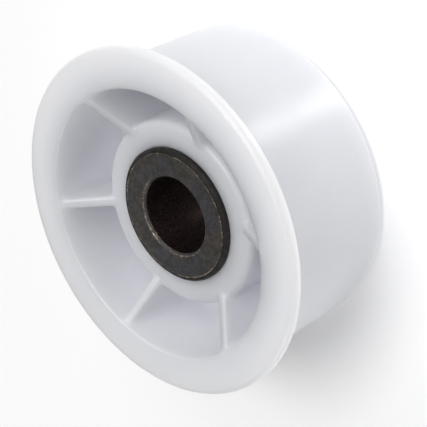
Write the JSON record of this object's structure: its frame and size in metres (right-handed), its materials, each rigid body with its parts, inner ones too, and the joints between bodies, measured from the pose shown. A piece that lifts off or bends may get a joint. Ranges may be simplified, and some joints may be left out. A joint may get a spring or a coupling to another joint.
{
  "type": "dryer drum roller",
  "caption": "White moulded roller wheel with a flange at its open end, a smooth cylindrical tread, ribbed pockets between rim and hub, and a dark plain bush pressed into the hub.",
  "frame": {"origin": "on the axle's line, at the bush's back face, which is the lowest point of the roller", "axes": "+Z along the axle from the back end to the flange; +X along one rib"},
  "size_m": [0.0572, 0.0572, 0.0254],
  "materials": {
    "white_plastic": "smooth moulded natural white acetal, satin and slightly translucent",
    "sintered_bronze": "dark oiled sintered bronze with machined chamfers"
  },
  "bodies": {
    "root": {"roller_body": "white_plastic", "sleeve_bush": "sintered_bronze"}
  },
  "joints": []
}
